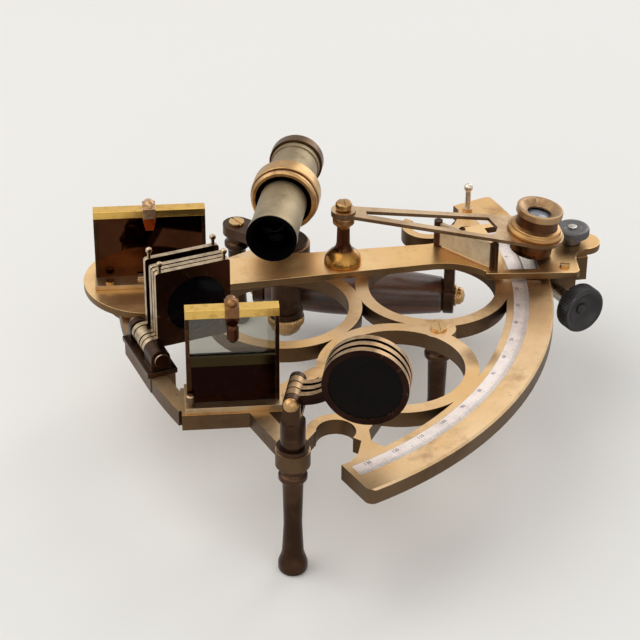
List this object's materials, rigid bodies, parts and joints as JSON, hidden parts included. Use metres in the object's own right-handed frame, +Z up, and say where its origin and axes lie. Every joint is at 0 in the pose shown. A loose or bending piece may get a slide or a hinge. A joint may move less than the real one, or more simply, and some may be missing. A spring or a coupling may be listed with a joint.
{
  "type": "sextant",
  "caption": "Brass marine sextant with a three-ring frame, swinging index arm with vernier and magnifier, folding shades, two mirrors, a rising telescope and a wooden handle.",
  "frame": {"origin": "on the table, straight below the pivot about which the index arm swings", "axes": "+Z up, out of the frame's graduated face and along the pivot; -Y from the pivot to the middle of the limb; +X toward the telescope and handle side"},
  "size_m": [0.2384, 0.2205, 0.1085],
  "materials": {
    "lacquered_brass": "satin lacquered, worn",
    "pale_brass": "satin, greenish",
    "dark_bronze": "satin bronzed",
    "silver_scale": "satin silvered",
    "steel": "satin",
    "black_fittings": "satin black",
    "spring_clip": "heat coloured",
    "dark_wood": "polished",
    "frosted_glass": "frosted",
    "mirror_glass": "silvered",
    "lens_glass": "polished",
    "shade_glass": "polished, tinted"
  },
  "bodies": {
    "frame": {"frame": "lacquered_brass", "scale_strip": "silver_scale", "pivot_bearing": "lacquered_brass", "legs": "dark_bronze", "frame_screws": "lacquered_brass", "handle": "dark_wood", "handle_bracket_top": "dark_bronze", "handle_bracket_bottom": "dark_bronze", "handle_rod": "lacquered_brass", "stem_socket": "lacquered_brass", "horizon_mirror_base": "lacquered_brass", "horizon_mirror_frame": "lacquered_brass", "horizon_mirror_glass": "mirror_glass", "horizon_mirror_clip": "spring_clip", "horizon_adjusting_screws": "steel", "index_shade_bracket": "dark_bronze", "index_shade_pin": "lacquered_brass", "horizon_shade_bracket": "dark_bronze", "horizon_shade_pin": "lacquered_brass"},
    "index_arm": {"index_arm": "lacquered_brass", "pivot_centre": "steel", "vernier": "silver_scale", "index_mirror_base": "lacquered_brass", "index_mirror_frame": "lacquered_brass", "index_mirror_glass": "mirror_glass", "index_mirror_clip": "spring_clip", "magnifier_post": "lacquered_brass", "magnifier_cap_screw": "dark_bronze", "screen_posts": "dark_bronze", "screen_glass": "frosted_glass", "arm_screws": "steel", "clamp_block": "lacquered_brass"},
    "magnifier": {"magnifier_arm": "pale_brass", "magnifier_barrel": "black_fittings", "magnifier_eyecup": "lacquered_brass", "magnifier_lens": "lens_glass"},
    "clamp_screw": {"clamp_screw": "black_fittings"},
    "tangent_screw": {"tangent_screw": "black_fittings"},
    "telescope": {"telescope_tube": "pale_brass", "telescope_collar": "lacquered_brass", "telescope_stem": "steel", "telescope_objective": "lens_glass"},
    "eyepiece": {"eyepiece_tube": "pale_brass", "eye_lens": "lens_glass"},
    "rising_nut": {"rising_nut": "lacquered_brass"},
    "index_shade_1": {"index_shade_1": "dark_bronze", "index_shade_glass_1": "shade_glass"},
    "index_shade_2": {"index_shade_2": "dark_bronze", "index_shade_glass_2": "shade_glass"},
    "index_shade_3": {"index_shade_3": "dark_bronze", "index_shade_glass_3": "shade_glass"},
    "index_shade_4": {"index_shade_4": "dark_bronze", "index_shade_glass_4": "shade_glass"},
    "horizon_shade_1": {"horizon_shade_1": "dark_bronze", "horizon_shade_glass_1": "shade_glass"},
    "horizon_shade_2": {"horizon_shade_2": "dark_bronze", "horizon_shade_glass_2": "shade_glass"},
    "horizon_shade_3": {"horizon_shade_3": "dark_bronze", "horizon_shade_glass_3": "shade_glass"}
  },
  "joints": [
    {"name": "index_arm_swing", "type": "hinge", "parent": "frame", "child": "index_arm", "pos_m": [0, 0, 0.059], "axis": [0, 0, 1], "range_deg": [-49, 3]},
    {"name": "magnifier_swing", "type": "hinge", "parent": "index_arm", "child": "magnifier", "pos_m": [0.03565, -0.07716, 0.0888], "axis": [0, 0, 1], "range_deg": [-20, 15]},
    {"name": "clamp_screw_turn", "type": "hinge", "parent": "index_arm", "child": "clamp_screw", "pos_m": [0.07949, -0.17202, 0.064], "axis": [0, 0, 1], "range_deg": [-360, 360]},
    {"name": "tangent_screw_turn", "type": "hinge", "parent": "index_arm", "child": "tangent_screw", "pos_m": [0.07278, -0.1575, 0.0482], "axis": [-0.6871, -0.7266, 0], "range_deg": [-1440, 1440]},
    {"name": "index_shade_1_fold", "type": "hinge", "parent": "frame", "child": "index_shade_1", "pos_m": [-0.04601, -0.0112, 0.0659], "axis": [-0.788, -0.6157, 0], "range_deg": [0, 100]},
    {"name": "index_shade_2_fold", "type": "hinge", "parent": "frame", "child": "index_shade_2", "pos_m": [-0.05121, -0.01526, 0.0659], "axis": [-0.788, -0.6157, 0], "range_deg": [0, 100]},
    {"name": "index_shade_3_fold", "type": "hinge", "parent": "frame", "child": "index_shade_3", "pos_m": [-0.05357, -0.01711, 0.0659], "axis": [-0.788, -0.6157, 0], "range_deg": [0, 100]},
    {"name": "index_shade_4_fold", "type": "hinge", "parent": "frame", "child": "index_shade_4", "pos_m": [-0.05594, -0.01896, 0.0659], "axis": [-0.788, -0.6157, 0], "range_deg": [0, 100]},
    {"name": "horizon_shade_1_fold", "type": "hinge", "parent": "frame", "child": "horizon_shade_1", "pos_m": [-0.10118, -0.09154, 0.0832], "axis": [0.9936, 0.1132, 0], "range_deg": [-164, 15]},
    {"name": "horizon_shade_2_fold", "type": "hinge", "parent": "frame", "child": "horizon_shade_2", "pos_m": [-0.09691, -0.09105, 0.0832], "axis": [0.9936, 0.1132, 0], "range_deg": [-164, 15]},
    {"name": "horizon_shade_3_fold", "type": "hinge", "parent": "frame", "child": "horizon_shade_3", "pos_m": [-0.09264, -0.09057, 0.0832], "axis": [0.9936, 0.1132, 0], "range_deg": [-164, 15]},
    {"name": "telescope_rise", "type": "slide", "parent": "frame", "child": "telescope", "axis": [0, 0, 1], "range_m": [-0.005, 0.006]},
    {"name": "rising_nut_turn", "type": "hinge", "parent": "frame", "child": "rising_nut", "pos_m": [0.0534, -0.046, 0.017], "axis": [0, 0, 1], "range_deg": [-1830, 2190]},
    {"name": "eyepiece_draw", "type": "slide", "parent": "telescope", "child": "eyepiece", "axis": [0.9936, 0.1132, 0], "range_m": [0, 0.012]}
  ],
  "couplings": [
    {"joint": "rising_nut_turn", "follows": "telescope_rise", "rad_per_m": 6283.2}
  ]
}
